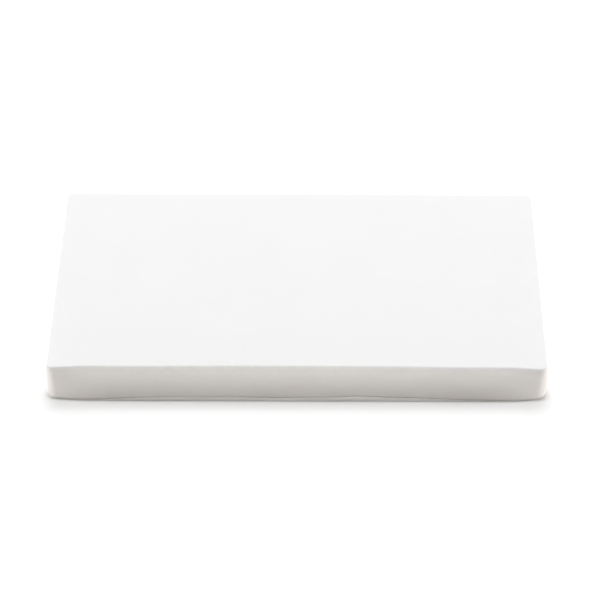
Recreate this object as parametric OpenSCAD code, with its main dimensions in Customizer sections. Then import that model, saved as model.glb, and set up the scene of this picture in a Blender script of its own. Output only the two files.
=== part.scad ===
// Slab nail buffer block: a soft foam core with an abrasive sheet bonded
// to each of its two broad faces. Millimetres, +Z up, X along the length.
// The origin is the centre of the underside, so the block stands on z = 0.

/* [Block] */
// Overall length, left to right, at the fullest part of the foam
block_w = 95; // [70:1:120]
// Overall depth, front to back, at the fullest part of the foam
block_d = 60; // [40:1:80]
// Overall thickness, with both abrasive sheets
block_t = 7.2; // [5:0.1:20]
// Plan radius of the four upright corners
corner_r = 2; // [1.5:0.5:8]

/* [Foam core] */
// How far the foam sides swell out past the sheets at mid height
core_crown = 0.5; // [0.1:0.05:0.6]

/* [Abrasive sheets] */
// Thickness of the grain and resin coat on each working face
coat_t = 0.2; // [0.1:0.05:0.4]
// Thickness of the backing that carries the grains
backing_t = 0.5; // [0.2:0.05:0.8]
// Thickness of the adhesive film between the backing and the foam
film_t = 0.15; // [0.05:0.05:0.3]
// How far the adhesive film stays back from the edge of the backing
film_inset = 0.3; // [0.1:0.05:0.6]

/* [Hidden] */

$fn = 96;

// thickness of one bonded sheet, from the foam to the working face
sheet_t = coat_t + backing_t + film_t;
// height of the foam alone, and the level of its underside
core_t = block_t - 2 * sheet_t;
core_z = sheet_t;
// plan of the sheets: flush with the foam's upper and lower rims
sheet_w = block_w - 2 * core_crown;
sheet_d = block_d - 2 * core_crown;
sheet_r = corner_r - core_crown;
// radius of the arc that gives the foam side its crown
crown_r = (pow(core_t / 2, 2) + pow(core_crown, 2)) / (2 * core_crown);
// centres of the corner rounds
cx = block_w / 2 - corner_r;
cy = block_d / 2 - corner_r;

foam_colour    = [0.93, 0.91, 0.89];
film_colour    = [0.62, 0.58, 0.54];
backing_colour = [0.90, 0.89, 0.87];
coat_colour    = [0.97, 0.97, 0.97];

// a flat sheet with rounded plan corners, lying on z = z0
module sheet(w, d, r, t, z0) {
    translate([0, 0, z0]) linear_extrude(t) union() {
        square([w - 2 * r, d], center = true);
        square([w, d - 2 * r], center = true);
        for (sx = [-1, 1], sy = [-1, 1])
            translate([sx * (w / 2 - r), sy * (d / 2 - r)]) circle(r);
    }
}

// section of the crowned rim: x from 0, inside, to corner_r, at mid height
module rim_section() {
    translate([0, -core_t / 2]) square([corner_r - core_crown, core_t]);
    intersection() {
        translate([0, -core_t / 2]) square([corner_r, core_t]);
        translate([corner_r - crown_r, 0]) circle(crown_r, $fn = 240);
    }
}

// straight stretch of the rim, of length l, facing +X and centred on y = 0
module rim_bar(l) {
    rotate([90, 0, 0]) translate([0, 0, -l / 2]) linear_extrude(l) rim_section();
}

// the foam slab: a plain middle, four crowned sides and four round corners
module crowned_slab() {
    cube([2 * cx, 2 * cy, core_t], center = true);
    for (s = [0, 1]) {
        rotate([0, 0, 180 * s]) translate([cx, 0, 0]) rim_bar(2 * cy);
        rotate([0, 0, 90 + 180 * s]) translate([cy, 0, 0]) rim_bar(2 * cx);
    }
    for (sx = [-1, 1], sy = [-1, 1])
        translate([sx * cx, sy * cy, 0]) rotate_extrude() rim_section();
}

module foam_core() {
    color(foam_colour)
        translate([0, 0, core_z + core_t / 2]) crowned_slab();
}

module adhesive_film(z0) {
    color(film_colour)
        sheet(sheet_w - 2 * film_inset, sheet_d - 2 * film_inset,
              sheet_r - film_inset, film_t, z0);
}

module backing_sheet(z0) {
    color(backing_colour) sheet(sheet_w, sheet_d, sheet_r, backing_t, z0);
}

module abrasive_coat(z0) {
    color(coat_colour) sheet(sheet_w, sheet_d, sheet_r, coat_t, z0);
}

module bottom_abrasive_coat() { abrasive_coat(0); }
module bottom_backing_sheet() { backing_sheet(coat_t); }
module bottom_adhesive_film() { adhesive_film(coat_t + backing_t); }
module top_adhesive_film()    { adhesive_film(block_t - sheet_t); }
module top_backing_sheet()    { backing_sheet(block_t - coat_t - backing_t); }
module top_abrasive_coat()    { abrasive_coat(block_t - coat_t); }

foam_core();
top_adhesive_film();
top_backing_sheet();
top_abrasive_coat();
bottom_adhesive_film();
bottom_backing_sheet();
bottom_abrasive_coat();
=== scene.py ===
import math

import bpy
import numpy as np
from mathutils import Matrix, Vector


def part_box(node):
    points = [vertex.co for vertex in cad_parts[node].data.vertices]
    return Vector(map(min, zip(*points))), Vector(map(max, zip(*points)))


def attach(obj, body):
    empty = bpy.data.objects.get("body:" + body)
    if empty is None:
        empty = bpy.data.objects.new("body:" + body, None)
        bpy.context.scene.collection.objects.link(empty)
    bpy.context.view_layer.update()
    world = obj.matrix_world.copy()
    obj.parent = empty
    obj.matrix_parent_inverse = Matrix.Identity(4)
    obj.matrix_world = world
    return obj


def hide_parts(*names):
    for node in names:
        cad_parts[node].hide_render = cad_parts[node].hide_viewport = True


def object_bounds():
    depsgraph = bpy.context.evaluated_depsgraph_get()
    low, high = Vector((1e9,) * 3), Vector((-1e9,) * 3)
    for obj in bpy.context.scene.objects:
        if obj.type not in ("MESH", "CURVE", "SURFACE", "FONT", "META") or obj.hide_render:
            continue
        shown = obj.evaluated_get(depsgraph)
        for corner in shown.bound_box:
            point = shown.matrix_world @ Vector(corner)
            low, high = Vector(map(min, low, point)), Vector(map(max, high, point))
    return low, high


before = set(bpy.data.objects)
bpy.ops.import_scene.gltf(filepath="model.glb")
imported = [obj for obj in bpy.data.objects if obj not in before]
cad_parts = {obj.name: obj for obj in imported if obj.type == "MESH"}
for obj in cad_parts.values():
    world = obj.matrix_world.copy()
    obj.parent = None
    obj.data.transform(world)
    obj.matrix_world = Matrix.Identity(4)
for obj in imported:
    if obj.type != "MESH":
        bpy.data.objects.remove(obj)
CAD_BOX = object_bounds()

# The visual model of the slab nail buffer. Lengths here are in millimetres and
# are turned into metres when a mesh is made. The layers are lofted from one
# outline, so they nest, and one gentle deformation is then laid over them all.

MM = 0.001
LO, HI = CAD_BOX
HW = (HI.x - LO.x) / 2 / MM          # half length, at the fullest part of the foam
HD = (HI.y - LO.y) / 2 / MM          # half depth
TOP = HI.z / MM                      # thickness
R = 2.0                              # plan radius of the upright corners
R_IN = 0.4                           # least plan radius that a ring inside the block keeps


def level(node, which):
    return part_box(node)[which].z / MM


Z_COAT_B = level("bottom_abrasive_coat", 1)      # coat to backing, under the block
Z_BACK_B = level("bottom_backing_sheet", 1)      # backing to adhesive
Z_CORE_LO = level("foam_core", 0)
Z_CORE_HI = level("foam_core", 1)
Z_BACK_T = level("top_backing_sheet", 0)
Z_COAT_T = level("top_abrasive_coat", 0)


# ---------------------------------------------------------------- noise

def lattice(ix, iy, iz, seed):
    h = (ix * 374761393 + iy * 668265263 + iz * 1103515245 + seed * 974634777) & 0xFFFFFFFF
    h = ((h ^ (h >> 13)) * 1274126177) & 0xFFFFFFFF
    h = ((h ^ (h >> 15)) * 1181783497) & 0xFFFFFFFF
    return (h ^ (h >> 16)).astype(float) / 4294967295.0


def noise(p, size, seed):
    """Smooth value noise from -1 to 1, with features about size millimetres across."""
    q = p / size + 517.0
    i = np.floor(q).astype(np.int64)
    f = q - i
    f = f * f * f * (f * (f * 6 - 15) + 10)
    out = np.zeros(len(p))
    for dx in (0, 1):
        for dy in (0, 1):
            for dz in (0, 1):
                w = ((f[:, 0] if dx else 1 - f[:, 0]) * (f[:, 1] if dy else 1 - f[:, 1])
                     * (f[:, 2] if dz else 1 - f[:, 2]))
                out += w * lattice(i[:, 0] + dx, i[:, 1] + dy, i[:, 2] + dz, seed)
    return 2 * out - 1


def fbm(p, size, seed, octaves=3):
    total, amp, norm = np.zeros(len(p)), 1.0, 0.0
    for k in range(octaves):
        total += amp * noise(p, size / 2 ** k, seed + 31 * k)
        norm += amp
        amp *= 0.5
    return total / norm


def cells(p, size, seed):
    """Distance to the nearest scattered point, in cell sizes, and that point's own random number."""
    q = p / size + 517.0
    base = np.floor(q).astype(np.int64)
    best, own = np.full(len(p), 9.0), np.zeros(len(p))
    for dx in (-1, 0, 1):
        for dy in (-1, 0, 1):
            for dz in (-1, 0, 1):
                i = base + np.array([dx, dy, dz])
                a = [lattice(i[:, 0], i[:, 1], i[:, 2], seed + s) for s in (1, 2, 3, 4)]
                d = np.sqrt((i[:, 0] + a[0] - q[:, 0]) ** 2 + (i[:, 1] + a[1] - q[:, 1]) ** 2
                            + (i[:, 2] + a[2] - q[:, 2]) ** 2)
                near = d < best
                best[near], own[near] = d[near], a[3][near]
    return best, own


def ease(x):
    x = np.clip(x, 0, 1)
    return x * x * (3 - 2 * x)


# ---------------------------------------------------------------- side profile

def profile(table):
    """A side's section from how its surface leans. table holds (distance along the section from the top,
    lean of the surface's normal above the horizon in degrees). Returns heights, rising, and how far in from
    the fullest line the side stands at each."""
    t = np.array(table, float)
    s = np.linspace(0, t[-1, 0], 4001)
    w = np.hanning(161)
    lean = np.interp(s, t[:, 0], t[:, 1])
    lean = np.radians(np.convolve(np.pad(lean, 80, mode="reflect", reflect_type="odd"), w / w.sum(), mode="valid"))
    dz, dd = np.cos((lean[1:] + lean[:-1]) / 2), np.sin((lean[1:] + lean[:-1]) / 2)
    z = np.concatenate([[0], np.cumsum(np.maximum(dz, 1e-5))])
    k = TOP / z[-1]
    d = -np.concatenate([[0], np.cumsum(dd)]) * (s[1] - s[0])
    return (TOP - k * z)[::-1], (d - d.min())[::-1]


# where the soft long sides roll over widely, and where the block stands nearly upright
FULL = profile([(0, 90), (0.12, 76), (0.3, 58), (0.5, 46), (0.7, 42), (1.0, 39), (1.8, 34), (2.8, 25), (3.8, 16),
                (4.8, 7), (5.6, 1), (6.3, -3), (7.0, -5), (7.6, -3), (8.2, 1)])
SLIGHT = profile([(0, 90), (0.08, 66), (0.2, 34), (0.4, 10), (0.8, 4), (2.0, 3), (4.0, 1), (5.0, 0), (6.0, -3),
                  (7.2, -7), (7.6, -12)])


# ---------------------------------------------------------------- outline

class Outline:
    """Points round the block, anticlockwise from the front left, as arc centres c and outward normals n."""

    def __init__(self, step, arcs):
        self.nx = int(round(2 * (HW - R) / step))
        self.ny = int(round(2 * (HD - R) / step))
        self.k = arcs
        xs = np.linspace(-(HW - R), HW - R, self.nx + 1)
        ys = np.linspace(-(HD - R), HD - R, self.ny + 1)
        self.xs, self.ys = xs, ys
        c, n = [], []

        def side(px, py, nrm):
            for a, b in zip(px, py):
                c.append((a, b))
                n.append(nrm)

        def corner(px, py, start):
            for j in range(1, arcs):
                t = math.radians(start + 90 * j / arcs)
                c.append((px, py))
                n.append((math.cos(t), math.sin(t)))

        bx, by = HW - R, HD - R
        side(xs, np.full(self.nx + 1, -by), (0, -1))
        corner(bx, -by, -90)
        side(np.full(self.ny + 1, bx), ys, (1, 0))
        corner(bx, by, 0)
        side(xs[::-1], np.full(self.nx + 1, by), (0, 1))
        corner(-bx, by, 90)
        side(np.full(self.ny + 1, -bx), ys[::-1], (-1, 0))
        corner(-bx, -by, 180)
        self.c, self.n = np.array(c), np.array(n)
        self.count = len(c)
        self.edge = self.c + R * self.n       # the outermost line
        self.full = self.fullness()

    def fullness(self):
        """How much of the wide roll each side has. The front has it along its whole length, and the corners
        and the short sides stand nearly upright."""
        x, nx, ny = self.edge[:, 0], self.n[:, 0], self.n[:, 1]
        fade = 0.14 * ease((np.abs(x) - 8.0) / 30.0) + 0.46 * ease((np.abs(x) - 39.0) / (HW - 39.0))
        front, back = 1.0 - fade, 0.24 - 0.2 * fade
        return ny ** 2 * np.where(ny < 0, front, back) + nx ** 2 * 0.03

    def side(self, z):
        """How far in from the fullest line the block's side stands at height z."""
        z = np.asarray(z, float)
        return self.full * np.interp(z, *FULL) + (1 - self.full) * np.interp(z, *SLIGHT)

    def height(self, inset):
        """The height of the upper surface where it stands inset in from the fullest line."""
        inset = np.broadcast_to(np.asarray(inset, float), (self.count,))
        z = TOP - (TOP * 0.45) * np.linspace(1, 0, 260) ** 2
        steps = [self.side(np.full(self.count, level)) for level in z]
        steps = np.array(steps)
        return np.array([np.interp(inset[i], steps[:, i], z) for i in range(self.count)])

    def ring(self, inset, z):
        """The outline moved in by inset, at height z; either may vary round the block."""
        inset = np.broadcast_to(np.asarray(inset, float), (self.count,))
        z = np.broadcast_to(np.asarray(z, float), (self.count,))
        deep = np.maximum(inset - (R - R_IN), 0)      # past this the arc centres move in as well
        shrink = 1 - deep[:, None] / np.array([HW - R, HD - R])
        xy = self.c * shrink + np.maximum(R - inset, R_IN)[:, None] * self.n
        return np.column_stack([xy, z])


# How high the lower seam runs over the table, as (place along the side, height).
# The middle of the front stands off the table more than the pinched ends do.
SEAM_FRONT = np.array([
    (-47.5, 0.34), (-43.5, 0.30), (-38.0, 0.35), (-34.4, 0.55), (-30.5, 0.80), (-26.5, 0.98),
    (-18.0, 1.02), (-9.0, 1.02), (-4.0, 0.86), (0.5, 1.00), (4.5, 1.06), (8.0, 1.22),
    (11.5, 1.40), (14.0, 1.28), (17.0, 1.06), (21.0, 0.96), (25.0, 0.74), (30.0, 0.52),
    (34.0, 0.35), (39.0, 0.24), (44.0, 0.22), (47.5, 0.30)])
SEAM_BACK = np.array([
    (-47.5, 0.26), (-40.0, 0.34), (-33.0, 0.62), (-22.0, 0.86), (-12.0, 0.80), (-3.0, 0.92),
    (6.0, 0.84), (18.0, 0.78), (27.0, 0.88), (35.0, 0.60), (41.0, 0.32), (47.5, 0.25)])
SEAM_LEFT = np.array([
    (-30.0, 0.24), (-24.0, 0.36), (-17.0, 0.70), (-8.0, 0.84), (2.0, 0.78), (10.0, 0.90),
    (18.0, 0.66), (24.0, 0.36), (30.0, 0.26)])
SEAM_RIGHT = np.array([
    (-30.0, 0.22), (-23.0, 0.38), (-15.0, 0.66), (-5.0, 0.88), (5.0, 0.82), (13.0, 0.74),
    (19.0, 0.60), (25.0, 0.34), (30.0, 0.25)])


def seam_heights(o):
    """Height of the lower seam at each point of the outline."""
    def on(table, u):
        fine = np.linspace(table[0, 0], table[-1, 0], 961)
        v = np.interp(fine, table[:, 0], table[:, 1])
        w = np.hanning(25)
        v = np.convolve(np.pad(v, 12, mode="edge"), w / w.sum(), mode="valid")
        return np.interp(u, fine, v)
    x, y, nx, ny = o.edge[:, 0], o.edge[:, 1], o.n[:, 0], o.n[:, 1]
    along_x = np.where(ny < 0, on(SEAM_FRONT, x), on(SEAM_BACK, x))
    along_y = np.where(nx < 0, on(SEAM_LEFT, y), on(SEAM_RIGHT, y))
    z = ny ** 2 * along_x + nx ** 2 * along_y
    p = np.column_stack([o.edge, np.full(o.count, 3.0)])
    return np.maximum(z + 0.035 * noise(p, 2.4, 71) + 0.02 * noise(p, 0.9, 72), 0.17)


def settle(v):
    """The shape the slab has taken: ends pressed a little thinner than the middle, a soft front right
    corner that tucks under, and a trace of unevenness. v is changed in place and returned."""
    x, y, z = v[:, 0].copy(), v[:, 1].copy(), v[:, 2].copy()
    up = np.clip(z / TOP, 0, 1)
    ends = np.where(x < 0, 0.02, 0.26) * (np.abs(x) / HW) ** 2
    sides = 0.05 * (y / HD) ** 2
    wave = 0.035 * (1 + noise(np.column_stack([x, y, 0 * x]), 17.0, 11)) * 0.5
    # the worked face dips a little before it rolls over at the front, except at the corners
    lip = 0.14 * ease(1 - (y + HD - 2.0) / 9.0) * (1 - 0.9 * ease((np.abs(x) - 26.0) / 20.0))
    v[:, 2] = z - up * (ends + sides + wave + lip)
    # the front falls back a little towards its ends
    fall = 0.30 * np.clip((np.abs(x) - 36.0) / 11.5, 0, 1) ** 2
    fall += (1 - 0.7 * ease(z / TOP)) * 0.6 * np.clip((np.abs(x) - 40.5) / 7.0, 0, 1) ** 2
    v[:, 1] += fall * np.clip(-(y + HD - 8.0) / 8.0, 0, 1)
    # the front right corner leans in towards its foot
    near = ease((x - (HW - 9)) / 9) * ease(1 - (y + HD) / 16)
    low = np.clip(1 - z / (0.55 * TOP), 0, 1)
    v[:, 0] -= 0.30 * near * low ** 1.7
    v[:, 1] += 0.12 * near * low ** 1.3
    # the other corners do so slightly
    for sx, sy, a in ((-1, -1, 0.06), (-1, 1, 0.16), (1, 1, 0.20)):
        near = ease((sx * x - (HW - 8)) / 8) * ease((sy * y - (HD - 8)) / 8)
        v[:, 0] -= sx * a * near * low ** 1.3
        v[:, 1] -= sy * a * near * low ** 1.3
    return v


# ---------------------------------------------------------------- mesh making

class Builder:
    def __init__(self):
        self.v, self.f, self.rim = [], [], []
        self.count = 0

    def add(self, pts, rim=0.0):
        first = self.count
        self.v.append(np.asarray(pts, float))
        self.rim.append(np.broadcast_to(np.asarray(rim, float), (len(pts),)))
        self.count += len(pts)
        return np.arange(first, self.count)

    def bridge(self, a, b):
        """Quads between two closed rings of the same length."""
        a2, b2 = np.roll(a, -1), np.roll(b, -1)
        self.f.extend(np.column_stack([a, a2, b2, b]).tolist())

    def loft(self, rings, rim=None):
        ids = [self.add(r, 0.0 if rim is None else rim[i]) for i, r in enumerate(rings)]
        for a, b in zip(ids, ids[1:]):
            self.bridge(a, b)
        return ids

    def cap(self, ring, up):
        """A flat lid over a hidden middle: one face over the whole ring."""
        self.f.append(ring.tolist() if up else ring[::-1].tolist())

    def grid_cap(self, o, ring, inset, height, up, rim=0.0):
        """A fine grid inside a ring of the outline. height(points) gives z."""
        nx, ny, k = o.nx, o.ny, o.k
        deep = max(inset - (R - R_IN), 0)
        r = max(R - inset, R_IN)
        bx, by = HW - R - deep, HD - R - deep
        t = np.radians(90 * np.arange(1, k) / k)
        ylow = -by - r * np.cos(t)
        xlow = bx + r * np.sin(t)
        rows_y = np.concatenate([[-by - r], ylow, o.ys * by / (HD - R), -ylow[::-1], [by + r]])
        rows_x = np.concatenate([[bx], xlow, np.full(ny + 1, bx + r), xlow[::-1], [bx]])
        u = o.xs / (HW - R)
        n_rows, n_cols = len(rows_y), nx + 1
        grid = np.full((n_rows, n_cols), -1, int)
        # the grid's border is the ring itself
        b = 0
        grid[0, :] = ring[b:b + n_cols]; b += n_cols
        grid[1:k, -1] = ring[b:b + k - 1]; b += k - 1
        grid[k:k + ny + 1, -1] = ring[b:b + ny + 1]; b += ny + 1
        grid[k + ny + 1:-1, -1] = ring[b:b + k - 1]; b += k - 1
        grid[-1, ::-1] = ring[b:b + n_cols]; b += n_cols
        grid[k + ny + 1:-1, 0] = ring[b:b + k - 1][::-1]; b += k - 1
        grid[k:k + ny + 1, 0] = ring[b:b + ny + 1][::-1]; b += ny + 1
        grid[1:k, 0] = ring[b:b + k - 1][::-1]; b += k - 1
        assert b == len(ring)
        gx = rows_x[1:-1, None] * u[None, 1:-1]
        gy = np.repeat(rows_y[1:-1, None], n_cols - 2, axis=1)
        pts = np.column_stack([gx.ravel(), gy.ravel(), np.zeros(gx.size)])
        pts[:, 2] = height(pts)
        grid[1:-1, 1:-1] = self.add(pts, rim).reshape(gx.shape)
        a, bq, cq, d = grid[:-1, :-1], grid[:-1, 1:], grid[1:, 1:], grid[1:, :-1]
        quads = np.stack([a, bq, cq, d] if up else [a, d, cq, bq], -1).reshape(-1, 4)
        self.f.extend(quads.tolist())
        return grid

    def make(self, name, node, material, smooth=True):
        v = settle(np.concatenate(self.v)) * MM
        mesh = bpy.data.meshes.new(name)
        mesh.from_pydata(v.tolist(), [], self.f)
        mesh.validate()
        mesh.update()
        a = mesh.attributes.new("rim", "FLOAT", "POINT")
        a.data.foreach_set("value", np.concatenate(self.rim).astype(np.float32))
        mesh.polygons.foreach_set("use_smooth", [smooth] * len(mesh.polygons))
        o = bpy.data.objects.new(name, mesh)
        bpy.context.scene.collection.objects.link(o)
        o.data.materials.append(material)
        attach(o, "root")
        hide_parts(node)
        return o


# ---------------------------------------------------------------- materials

def node_material(name):
    m = bpy.data.materials.new(name)
    m.use_nodes = True
    nt = m.node_tree
    nt.nodes.clear()
    out = nt.nodes.new("ShaderNodeOutputMaterial")
    shader = nt.nodes.new("ShaderNodeBsdfPrincipled")
    nt.links.new(shader.outputs["BSDF"], out.inputs["Surface"])
    return m, nt, shader


def coords(nt):
    return nt.nodes.new("ShaderNodeTexCoord").outputs["Object"]


def tex_noise(nt, vec, scale, detail=3.0, rough=0.55, stretch=None):
    if stretch:
        mp = nt.nodes.new("ShaderNodeMapping")
        mp.inputs["Scale"].default_value = stretch
        nt.links.new(vec, mp.inputs["Vector"])
        vec = mp.outputs["Vector"]
    n = nt.nodes.new("ShaderNodeTexNoise")
    n.inputs["Scale"].default_value = scale
    n.inputs["Detail"].default_value = detail
    n.inputs["Roughness"].default_value = rough
    nt.links.new(vec, n.inputs["Vector"])
    return n.outputs["Fac"]


def tex_cells(nt, vec, scale, feature="F1", randomness=1.0):
    n = nt.nodes.new("ShaderNodeTexVoronoi")
    n.feature = feature
    n.inputs["Scale"].default_value = scale
    n.inputs["Randomness"].default_value = randomness
    nt.links.new(vec, n.inputs["Vector"])
    return n


def remap(nt, value, lo, hi, to_lo, to_hi):
    n = nt.nodes.new("ShaderNodeMapRange")
    n.inputs["From Min"].default_value = lo
    n.inputs["From Max"].default_value = hi
    n.inputs["To Min"].default_value = to_lo
    n.inputs["To Max"].default_value = to_hi
    nt.links.new(value, n.inputs["Value"])
    return n.outputs["Result"]


def calc(nt, op, a, b):
    n = nt.nodes.new("ShaderNodeMath")
    n.operation = op
    for i, x in enumerate((a, b)):
        if isinstance(x, (int, float)):
            n.inputs[i].default_value = x
        else:
            nt.links.new(x, n.inputs[i])
    return n.outputs["Value"]


def mix_colour(nt, fac, a, b):
    n = nt.nodes.new("ShaderNodeMix")
    n.data_type = "RGBA"
    for key, x in ((0, fac), (6, a), (7, b)):
        if isinstance(x, (int, float)):
            n.inputs[key].default_value = x
        elif isinstance(x, tuple):
            n.inputs[key].default_value = (*x, 1)
        else:
            nt.links.new(x, n.inputs[key])
    return n.outputs[2]


def bump(nt, height, distance, strength=1.0, under=None):
    n = nt.nodes.new("ShaderNodeBump")
    n.inputs["Strength"].default_value = strength
    n.inputs["Distance"].default_value = distance
    nt.links.new(height, n.inputs["Height"])
    if under is not None:
        nt.links.new(under, n.inputs["Normal"])
    return n.outputs["Normal"]


def attribute(nt, name):
    n = nt.nodes.new("ShaderNodeAttribute")
    n.attribute_name = name
    return n.outputs["Fac"]


def along(nt, vec, axis, low, high, at_low, at_high):
    """A factor that eases from at_low to at_high between two places, in metres, on one axis of the block."""
    split = nt.nodes.new("ShaderNodeSeparateXYZ")
    nt.links.new(vec, split.inputs["Vector"])
    value = calc(nt, "ABSOLUTE", split.outputs[axis], 0.0)
    n = nt.nodes.new("ShaderNodeMapRange")
    n.interpolation_type = "SMOOTHSTEP"
    n.inputs["From Min"].default_value = low
    n.inputs["From Max"].default_value = high
    n.inputs["To Min"].default_value = at_low
    n.inputs["To Max"].default_value = at_high
    nt.links.new(value, n.inputs["Value"])
    return n.outputs["Result"]


def foam_material():
    """Fine-celled foam, cut by a blade: small open cells, thin cell walls, faint cut streaks, with painted shade in the
    cells and a painted shade that darkens the sides towards the bottom.
    """
    m, nt, s = node_material("fine_celled_foam")
    p = coords(nt)
    fine = tex_cells(nt, p, 4200)                       # cells about a quarter of a millimetre across
    pore = remap(nt, fine.outputs["Distance"], 0.10, 0.42, 1.0, 0.0)
    which = remap(nt, tex_noise(nt, p, 1500, 2.0), 0.42, 0.62, 0.15, 1.0)
    pore = calc(nt, "MULTIPLY", pore, which)
    big = tex_cells(nt, p, 1500)
    big_pore = remap(nt, big.outputs["Distance"], 0.06, 0.24, 1.0, 0.0)
    cloud = tex_noise(nt, p, 160, 4.0, 0.6)
    streak = tex_noise(nt, p, 900, 3.0, 0.6, stretch=(0.06, 0.06, 1.0))
    body = mix_colour(nt, remap(nt, cloud, 0.3, 0.7, 0.0, 1.0), FOAM_A, FOAM_B)
    # painted shade in the open cells: where the pore masks hollow the surface, the colour is darkened towards the
    # cells' shade colour
    body = mix_colour(nt, calc(nt, "MULTIPLY", pore, 0.22), body, FOAM_CELL_PAINTED_SHADE)
    body = mix_colour(nt, calc(nt, "MULTIPLY", big_pore, 0.16), body, FOAM_CELL_PAINTED_SHADE)
    # painted shade: the foam's colour darkens towards the bottom of the block's sides, and only a tenth as much at the
    # ends, standing in for how the light falls on the sides; the cloud varies it slightly
    painted_shade = calc(nt, "MULTIPLY", along(nt, p, "Z", 0.0002, 0.0058, 1.0, 0.0), remap(nt, cloud, 0.3, 0.7, 0.85, 1.0))
    painted_shade = calc(nt, "MULTIPLY", painted_shade, along(nt, p, "X", 0.034, 0.046, 1.0, 0.1))
    body = mix_colour(nt, painted_shade, body, FOAM_PAINTED_SHADE)
    nt.links.new(body, s.inputs["Base Color"])
    nt.links.new(remap(nt, pore, 0.0, 1.0, 0.84, 0.97), s.inputs["Roughness"])
    h = calc(nt, "SUBTRACT", calc(nt, "MULTIPLY", streak, 0.5), pore)
    h = calc(nt, "SUBTRACT", h, calc(nt, "MULTIPLY", big_pore, 1.2))
    nt.links.new(bump(nt, h, 0.000035, 0.6), s.inputs["Normal"])
    s.inputs["Specular IOR Level"].default_value = 0.28
    return m


def coat_material(name, seed_shift):
    """White fine-grit coat: close-packed grains in resin, a dry dusting over them, worn thinner at the rim."""
    m, nt, s = node_material(name)
    mp = nt.nodes.new("ShaderNodeMapping")
    mp.inputs["Location"].default_value = (seed_shift, -seed_shift, 0)
    nt.links.new(coords(nt), mp.inputs["Vector"])
    p = mp.outputs["Vector"]
    grain = tex_cells(nt, p, 9500)                      # grains about a tenth of a millimetre
    tone = remap(nt, grain.outputs["Color"], 0.0, 1.0, -0.5, 0.5)
    clump = tex_noise(nt, p, 2100, 3.0, 0.6)
    dust = tex_noise(nt, p, 95, 4.0, 0.6)
    fac = calc(nt, "ADD", calc(nt, "MULTIPLY", tone, 0.45), remap(nt, clump, 0.3, 0.7, 0.1, 0.9))
    body = mix_colour(nt, fac, COAT_B, COAT_A)
    body = mix_colour(nt, remap(nt, dust, 0.35, 0.65, 0.0, 0.5), body, COAT_DUST)
    worn = calc(nt, "MULTIPLY", attribute(nt, "rim"), remap(nt, tex_noise(nt, p, 700, 4.0, 0.65), 0.40, 0.62, 0.7, 1.0))
    body = mix_colour(nt, calc(nt, "MULTIPLY", worn, 1.0), body, COAT_WORN)
    nt.links.new(body, s.inputs["Base Color"])
    rough = calc(nt, "ADD", remap(nt, dust, 0.3, 0.7, 0.80, 0.92), calc(nt, "MULTIPLY", tone, 0.06))
    nt.links.new(rough, s.inputs["Roughness"])
    h = calc(nt, "ADD", remap(nt, grain.outputs["Distance"], 0.0, 0.7, 1.0, 0.0), calc(nt, "MULTIPLY", clump, 0.8))
    nt.links.new(bump(nt, h, 0.00002, 0.55), s.inputs["Normal"])
    s.inputs["Specular IOR Level"].default_value = 0.30
    return m


def backing_material():
    """Cut edge of a dense paper-like backing: fibres lying along the sheet."""
    m, nt, s = node_material("backing_edge")
    p = coords(nt)
    fibre = tex_noise(nt, p, 5200, 4.0, 0.65, stretch=(0.12, 0.12, 1.0))
    cloud = tex_noise(nt, p, 260, 3.0, 0.6)
    body = mix_colour(nt, remap(nt, fibre, 0.35, 0.65, 0.0, 1.0), BACK_B, BACK_A)
    body = mix_colour(nt, remap(nt, cloud, 0.40, 0.75, 0.0, 0.35), body, BACK_DUST)
    nt.links.new(body, s.inputs["Base Color"])
    nt.links.new(remap(nt, fibre, 0.3, 0.7, 0.78, 0.94), s.inputs["Roughness"])
    nt.links.new(bump(nt, fibre, 0.00003, 0.6), s.inputs["Normal"])
    s.inputs["Specular IOR Level"].default_value = 0.30
    return m


def film_material():
    """Set adhesive, muted amber, with a little dust caught on its edge."""
    m, nt, s = node_material("adhesive_line")
    p = coords(nt)
    blob = tex_noise(nt, p, 1300, 4.0, 0.6)
    dust = tex_cells(nt, p, 2600)
    body = mix_colour(nt, remap(nt, blob, 0.35, 0.65, 0.0, 1.0), FILM_A, FILM_B)
    body = mix_colour(nt, remap(nt, dust.outputs["Distance"], 0.05, 0.25, 0.5, 0.0), body, FILM_DUST)
    nt.links.new(body, s.inputs["Base Color"])
    nt.links.new(remap(nt, blob, 0.3, 0.7, 0.35, 0.6), s.inputs["Roughness"])
    nt.links.new(bump(nt, blob, 0.00005, 0.5), s.inputs["Normal"])
    s.inputs["Specular IOR Level"].default_value = 0.45
    return m


# the third foam colour is the painted shade in the open cells
FOAM_A, FOAM_B, FOAM_CELL_PAINTED_SHADE = (0.950, 0.910, 0.874), (0.930, 0.888, 0.850), (0.74, 0.69, 0.64)
# the colour of the painted shade on the lower part of the foam's sides
FOAM_PAINTED_SHADE = (0.720, 0.681, 0.646)
COAT_A, COAT_B = (0.796, 0.796, 0.796), (0.776, 0.776, 0.776)
COAT_DUST, COAT_WORN = (0.802, 0.802, 0.802), (0.945, 0.912, 0.882)
BACK_A, BACK_B, BACK_DUST = (0.945, 0.912, 0.880), (0.915, 0.877, 0.843), (0.95, 0.92, 0.89)
FILM_A, FILM_B, FILM_DUST = (0.56, 0.51, 0.46), (0.48, 0.43, 0.385), (0.74, 0.70, 0.66)


# ---------------------------------------------------------------- the layers

WIDE = 1.7               # how far in from the cut edge the pinched zone reaches
GAP = 0.045              # half height of the lower seam
CUT_TOP = TOP - 0.50     # where the upper sheet's cut edge begins, under its rolled-over coat
CUT_COAT = TOP - 0.64    # coat to backing, in the cut edge
CUT_LOW = TOP - 0.925    # foot of the cut edge, at the upper seam
RIM_T = TOP - 0.935      # top of the foam, at the upper seam
INNER = (2.3, 1.7, 1.25, 0.9, 0.6, 0.35)     # rings of a hidden face, in from its cut edge


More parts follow.
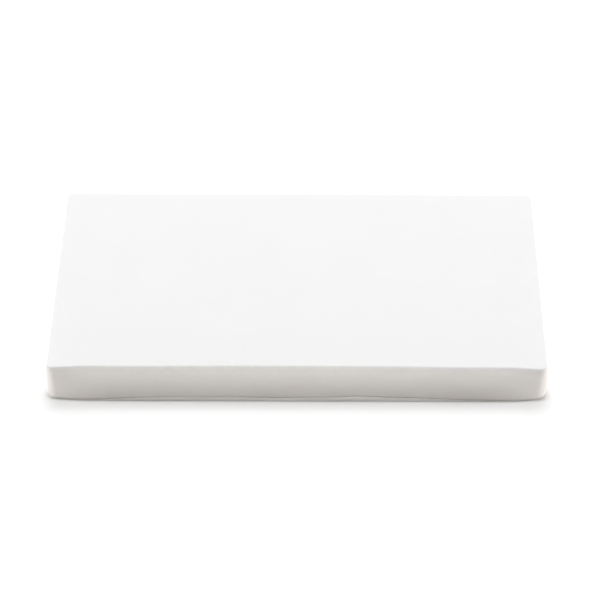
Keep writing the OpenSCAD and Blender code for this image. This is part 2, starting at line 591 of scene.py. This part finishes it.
def pinch(e):
    """1 at the cut edge, easing to 0 inside: how much a layer follows the pinched edge there."""
    return 1 - ease((np.asarray(e, float) - 0.15) / WIDE)


def under_foam(seam, e):
    return Z_CORE_LO + (seam + GAP - Z_CORE_LO) * pinch(e)


def over_backing(seam, e):
    return Z_BACK_B + (seam - GAP - Z_BACK_B) * pinch(e)


def over_coat(seam, e):
    return Z_COAT_B + (0.29 * (seam - GAP) - Z_COAT_B) * pinch(e)


def top_foam(e):
    return Z_CORE_HI + (RIM_T - Z_CORE_HI) * pinch(e)


def top_backing_low(e):
    return Z_BACK_T + (CUT_LOW - Z_BACK_T) * pinch(e)


def coat_low(o, e):
    """Underside of the upper coat, e in from its cut edge: it follows the roll of the face above it."""
    return o.height(o.side(CUT_COAT) + e) - (TOP - Z_COAT_T) * ease(np.asarray(e, float) / 0.7)


def cut_noise(o, z, amount, size, seed):
    """Unevenness of a cut edge, 0 or more, measured inwards."""
    p = np.column_stack([o.edge, np.full(o.count, z)])
    return amount * (0.5 + 0.5 * fbm(p, size, seed))


def sway(p):
    """The slow wander of the blade that cut the sides, 0 or more, measured inwards."""
    wander = 0.5 + 0.5 * noise(p * np.array([1, 1, 1.7]), 7.5, 21)
    slow = 0.5 + 0.5 * noise(p * np.array([1, 1, 0.3]), 23.0, 24)
    return 0.035 * wander + 0.05 * slow


def upper_sway(o):
    """The same wander at the upper seam, which the bonded sheet's cut edge shares."""
    p = o.ring(o.side(RIM_T), RIM_T)
    return sway(p) + 0.02


def build_foam():
    o = Outline(0.185, 18)
    seam = seam_heights(o)
    b = Builder()
    rings = []
    ra, rb = 0.014, 0.12                      # rounding of the upper and lower rims of the cut foam
    for e in INNER:
        rings.append((o.side(seam) + e, under_foam(seam, e)))
    z0 = under_foam(seam, 0)
    for t in (0, 22, 45, 68):
        t = math.radians(t)
        z = z0 + rb * (1 - math.cos(t))
        rings.append((o.side(z) + rb * (1 - math.sin(t)), z))
    z1 = np.full(o.count, float(top_foam(0)))
    rows = 34
    for i in range(rows + 1):
        z = (z0 + rb) + (z1 - ra - z0 - rb) * i / rows
        rings.append((o.side(z), z))
    for t in (68, 45, 22, 0):
        t = math.radians(t)
        z = z1 - ra * (1 - math.cos(t))
        rings.append((o.side(z) + ra * (1 - math.sin(t)), z))
    for e in INNER[::-1]:
        rings.append((o.side(RIM_T) + e, np.full(o.count, float(top_foam(e)))))
    first, last = len(INNER), len(rings) - len(INNER)
    n3 = np.column_stack([o.n, np.zeros(o.count)])
    made = []
    for i, (inset, z) in enumerate(rings):
        p = o.ring(inset, z)
        if first <= i < last:
            # cells opened by the blade, the blade's own slight wander, and the faint steps it leaves
            far, own = cells(p, 0.62, 5)
            pit = np.clip(1 - far / 0.50, 0, 1) ** 1.3 * np.clip((own - 0.25) / 0.5, 0, 1)
            small = fbm(p, 0.50, 8, 2)
            steps = 0.5 + 0.5 * noise(p * np.array([0.08, 0.08, 1.0]), 0.75, 27)
            depth = 0.040 * pit + 0.010 * (1 + small) + sway(p) + 0.015 * steps
            p = p - depth[:, None] * n3
        made.append(p)
    ids = b.loft(made)
    b.cap(ids[0], up=False)
    b.cap(ids[-1], up=True)
    piece = b.make("foam_body", "foam_core", FOAM)
    return piece


def face_relief(p, seed):
    """Relief of a coated face, never above 0: soft clumps of grain over a faint wave of the backing."""
    clump = fbm(p, 0.85, seed, 2)
    wave = noise(p, 11.0, seed + 5)
    return 0.010 * (clump - 1) + 0.012 * (wave - 1)


FLAT = np.array([1.0, 1.0, 0.0])
GRID_IN = 3.1                    # where the fine grid of a coated face begins, in from the fullest line


def build_top_coat():
    o = Outline(0.30, 12)
    b = Builder()
    cut = upper_sway(o) + cut_noise(o, 7.8, 0.02, 0.8, 41)
    rings, rim = [], []
    for e in (2.3, 1.7, 1.2, 0.9, 0.7, 0.5, 0.35, 0.2, 0.1):
        rings.append(o.ring(o.side(CUT_COAT) + e + cut, coat_low(o, e)))
        rim.append(0.0)
    rings.append(o.ring(o.side(CUT_COAT) + 0.02 + cut, CUT_COAT)); rim.append(1.0)
    for u in (0.15, 0.5, 0.85):
        z = CUT_COAT + (CUT_TOP - CUT_COAT) * u
        rings.append(o.ring(o.side(z) + cut, z)); rim.append(1.0)
    roll = TOP - CUT_TOP
    for t in np.linspace(90, 0, 14):
        t = math.radians(t)
        z = TOP - roll * (1 - math.cos(t))
        fade = 1 - math.sin(t)
        ring = o.ring(o.side(z) + cut * (1 - fade), z)
        ring[:, 2] += fade * face_relief(ring * FLAT, 61)
        rings.append(ring)
        rim.append(0.05 + 0.95 * math.sin(t) ** 1.2)
    edge = o.side(TOP)
    for u, tint in ((0.33, 0.06), (0.66, 0.03), (1.0, 0.02)):
        ring = o.ring(edge + (GRID_IN - edge) * u, TOP)
        ring[:, 2] += face_relief(ring * FLAT, 61)
        rings.append(ring); rim.append(tint)
    ids = b.loft(rings, rim)
    b.grid_cap(o, ids[-1], GRID_IN, lambda p: TOP + face_relief(p, 61), up=True)
    b.cap(ids[0], up=False)
    return b.make("top_grit_coat", "top_abrasive_coat", COAT_TOP)


def build_top_backing():
    o = Outline(0.30, 12)
    b = Builder()
    cut = upper_sway(o) + cut_noise(o, 7.4, 0.02, 0.7, 43) + 0.005
    g = 0.004
    rings = [o.ring(o.side(CUT_LOW) + e + cut, top_backing_low(e) + g) for e in INNER]
    lo, hi = CUT_LOW + g, CUT_COAT - g
    rings.append(o.ring(o.side(lo) + 0.012 + cut, lo))
    rings.append(o.ring(o.side(lo) + 0.003 + cut, lo + 0.006))
    for i in range(5):
        z = lo + 0.03 + (hi - lo - 0.045) * i / 4
        rough = cut_noise(o, z, 0.02, 0.45, 45)
        rings.append(o.ring(o.side(z) + cut + rough, z))
    rings.append(o.ring(o.side(hi) + 0.02 + cut, hi))
    rings += [o.ring(o.side(CUT_COAT) + e + cut, coat_low(o, e) - g) for e in (0.1, 0.2, 0.35, 0.5, 0.7, 0.9, 1.2, 1.7, 2.3)]
    ids = b.loft(rings)
    b.cap(ids[0], up=False)
    b.cap(ids[-1], up=True)
    return b.make("top_backing", "top_backing_sheet", BACKING)


def film(o, name, node, low, high, base, cut):
    """A film of adhesive between two layers, its edge squeezed out unevenly and set back from the cut."""
    b = Builder()
    g = 0.004
    steps = (1.8, 1.3, 0.9, 0.6, 0.35, 0.15)
    rings = [o.ring(base + cut + e, low(cut + e) + g) for e in steps]
    rings += [o.ring(base + cut, low(cut) + g), o.ring(base + cut - 0.04, (low(cut) + high(cut)) / 2),
              o.ring(base + cut, high(cut) - g)]
    rings += [o.ring(base + cut + e, high(cut + e) - g) for e in steps[::-1]]
    ids = b.loft(rings)
    b.cap(ids[0], up=False)
    b.cap(ids[-1], up=True)
    return b.make(name, node, FILM)


def build_top_film():
    o = Outline(0.30, 12)
    film(o, "top_adhesive", "top_adhesive_film", top_foam, top_backing_low, o.side(RIM_T),
         upper_sway(o) + cut_noise(o, 7.2, 0.05, 1.1, 46) + 0.05)


def build_bottom_film():
    o = Outline(0.30, 12)
    seam = seam_heights(o)
    film(o, "bottom_adhesive", "bottom_adhesive_film", lambda e: over_backing(seam, e),
         lambda e: under_foam(seam, e), o.side(seam), cut_noise(o, 0.8, 0.20, 1.3, 51) + 0.16)


def build_bottom_backing():
    o = Outline(0.30, 12)
    seam = seam_heights(o)
    b = Builder()
    cut = cut_noise(o, 0.4, 0.08, 0.7, 53) + cut_noise(o, 0.4, 0.06, 4.5, 54)
    g = 0.004
    lo, hi = over_coat(seam, 0) + g, over_backing(seam, 0)
    t = hi - lo
    rings = [o.ring(o.side(lo) + e + cut, over_coat(seam, e) + g) for e in INNER]
    rings.append(o.ring(o.side(lo) + 0.03 + cut, lo))
    for i in range(5):
        z = lo + t * (0.08 + 0.80 * i / 4)
        rough = cut_noise(o, 0.4 + 0.1 * i, 0.035, 0.45, 55)
        rings.append(o.ring(o.side(z) + cut + rough, z))
    rings.append(o.ring(o.side(hi) + 0.035 + cut, hi - 0.02 * t))
    rings.append(o.ring(o.side(seam) + 0.08 + cut, hi))
    rings += [o.ring(o.side(seam) + e + cut, over_backing(seam, e)) for e in INNER[::-1]]
    ids = b.loft(rings)
    b.cap(ids[0], up=False)
    b.cap(ids[-1], up=True)
    return b.make("bottom_backing", "bottom_backing_sheet", BACKING)


def build_bottom_coat():
    o = Outline(0.30, 12)
    seam = seam_heights(o)
    b = Builder()
    cut = cut_noise(o, 0.1, 0.06, 0.8, 57) + cut_noise(o, 0.1, 0.05, 4.5, 58)
    rings, rim = [], []
    hi = over_coat(seam, 0)
    r = np.minimum(0.10, 0.7 * hi)               # small rounding at the foot
    ring = o.ring(GRID_IN, 0.0)
    ring[:, 2] -= face_relief(ring * FLAT, 63)
    rings.append(ring); rim.append(0.03)
    for t in (0, 20, 40, 60, 80):
        t = math.radians(t)
        z = r * (1 - math.cos(t))
        ring = o.ring(o.side(0.0) + r * (1 - math.sin(t)) * 2.2 + cut, z)
        ring[:, 2] -= (1 - math.sin(t)) * face_relief(ring * FLAT, 63)
        rings.append(ring); rim.append(0.2 + 0.8 * math.sin(t))
    for z in ((hi + r) / 2, hi - 0.1 * (hi - r)):
        rings.append(o.ring(o.side(z) + cut, z)); rim.append(1.0)
    rings.append(o.ring(o.side(hi) + 0.02 + cut, hi)); rim.append(1.0)
    for e in (0.35, 0.75, 1.2, 1.7, 2.2):
        rings.append(o.ring(o.side(hi) + e + cut, over_coat(seam, e))); rim.append(0.0)
    ids = b.loft(rings, rim)
    b.grid_cap(o, ids[0], GRID_IN, lambda p: -face_relief(p, 63), up=False)
    b.cap(ids[-1], up=True)
    return b.make("bottom_grit_coat", "bottom_abrasive_coat", COAT_BOTTOM)


FOAM = foam_material()
COAT_TOP = coat_material("grit_coat_top", 0.0)
COAT_BOTTOM = coat_material("grit_coat_bottom", 0.137)
BACKING = backing_material()
FILM = film_material()

for build in (build_foam, build_top_film, build_top_backing, build_top_coat,
              build_bottom_film, build_bottom_backing, build_bottom_coat):
    build()


# ---------------------------------------------------------------- floor, light, camera

def make_floor():
    half = 1.6
    mesh = bpy.data.meshes.new("floor")
    mesh.from_pydata([(-half, -half, 0), (half, -half, 0), (half, half, 0), (-half, half, 0)], [], [(0, 1, 2, 3)])
    floor = bpy.data.objects.new("floor", mesh)
    bpy.context.scene.collection.objects.link(floor)
    m, nt, s = node_material("pale_floor")
    faint = tex_noise(nt, coords(nt), 9, 3.0, 0.5)
    nt.links.new(mix_colour(nt, faint, (0.926, 0.926, 0.926), (0.936, 0.936, 0.936)), s.inputs["Base Color"])
    s.inputs["Roughness"].default_value = 0.9
    s.inputs["Specular IOR Level"].default_value = 0.1
    floor.data.materials.append(m)


def area_light(name, place, aim, size_x, size_y, watts):
    d = bpy.data.lights.new(name, "AREA")
    d.shape = "RECTANGLE"
    d.size, d.size_y = size_x, size_y
    d.energy = watts
    o = bpy.data.objects.new(name, d)
    bpy.context.scene.collection.objects.link(o)
    o.location = place
    o.rotation_euler = (Vector(aim) - Vector(place)).to_track_quat("-Z", "Y").to_euler()
    return o


def soft_box(name, azimuth, elevation, size_x, size_y, watts, distance=0.9):
    """A soft box aimed at the block: azimuth 0 is in front, 90 to the right, 180 behind."""
    a, e = math.radians(azimuth), math.radians(elevation)
    place = Vector((math.sin(a) * math.cos(e), -math.cos(a) * math.cos(e), math.sin(e))) * distance
    area_light(name, place, (0, 0, 0), size_x, size_y, watts)


make_floor()
LIGHTS = [
    ("overhead", 0, 89.9, 0.24, 0.22, 2.65),
    ("overhead_back", 180, 67, 0.9, 0.22, 1.1),
    ("back", 180, 57, 0.9, 0.22, 2.35),
    ("back_low", 180, 41, 0.9, 0.22, 2.0),
    ("left_high", -90, 34, 0.4, 0.4, 1.05),
    ("right_high", 90, 34, 0.4, 0.4, 1.05),
    ("left_low", -84, 15, 0.4, 0.3, 3.6),
    ("right_low", 84, 15, 0.4, 0.3, 3.8),
]
for spec in LIGHTS:
    soft_box(*spec)

world = bpy.data.worlds.new("studio")
world.use_nodes = True
world.node_tree.nodes["Background"].inputs["Color"].default_value = (1, 1, 1, 1)
world.node_tree.nodes["Background"].inputs["Strength"].default_value = 0.02
bpy.context.scene.world = world

scene = bpy.context.scene
scene.view_settings.view_transform = "Standard"
scene.view_settings.look = "None"
scene.view_settings.exposure = 0.0
scene.view_settings.gamma = 1.0

# The camera stands in front of the block and about 36 degrees above it, with a long lens.
ELEVATION, YAW, ROLL = math.radians(36.25), math.radians(-0.633), math.radians(-0.226)
CAM_AT = Vector(((LO.x + HI.x) / 2 + 0.005489, (LO.y + HI.y) / 2 - 0.464231, 0.342265))
forward = Vector((math.sin(YAW) * math.cos(ELEVATION), math.cos(YAW) * math.cos(ELEVATION), -math.sin(ELEVATION)))
right = Vector((math.cos(YAW), -math.sin(YAW), 0))
up = right.cross(forward)
r2 = right * math.cos(ROLL) + up * math.sin(ROLL)
u2 = up * math.cos(ROLL) - right * math.sin(ROLL)
cam_data = bpy.data.cameras.new("camera")
cam_data.sensor_width = 36
cam_data.lens = 2926.1 * 36 / 600
cam_data.clip_start, cam_data.clip_end = 0.01, 20
cam = bpy.data.objects.new("camera", cam_data)
scene.collection.objects.link(cam)
cam.matrix_world = Matrix(((r2.x, u2.x, -forward.x, CAM_AT.x),
                           (r2.y, u2.y, -forward.y, CAM_AT.y),
                           (r2.z, u2.z, -forward.z, CAM_AT.z),
                           (0, 0, 0, 1)))
scene.camera = cam
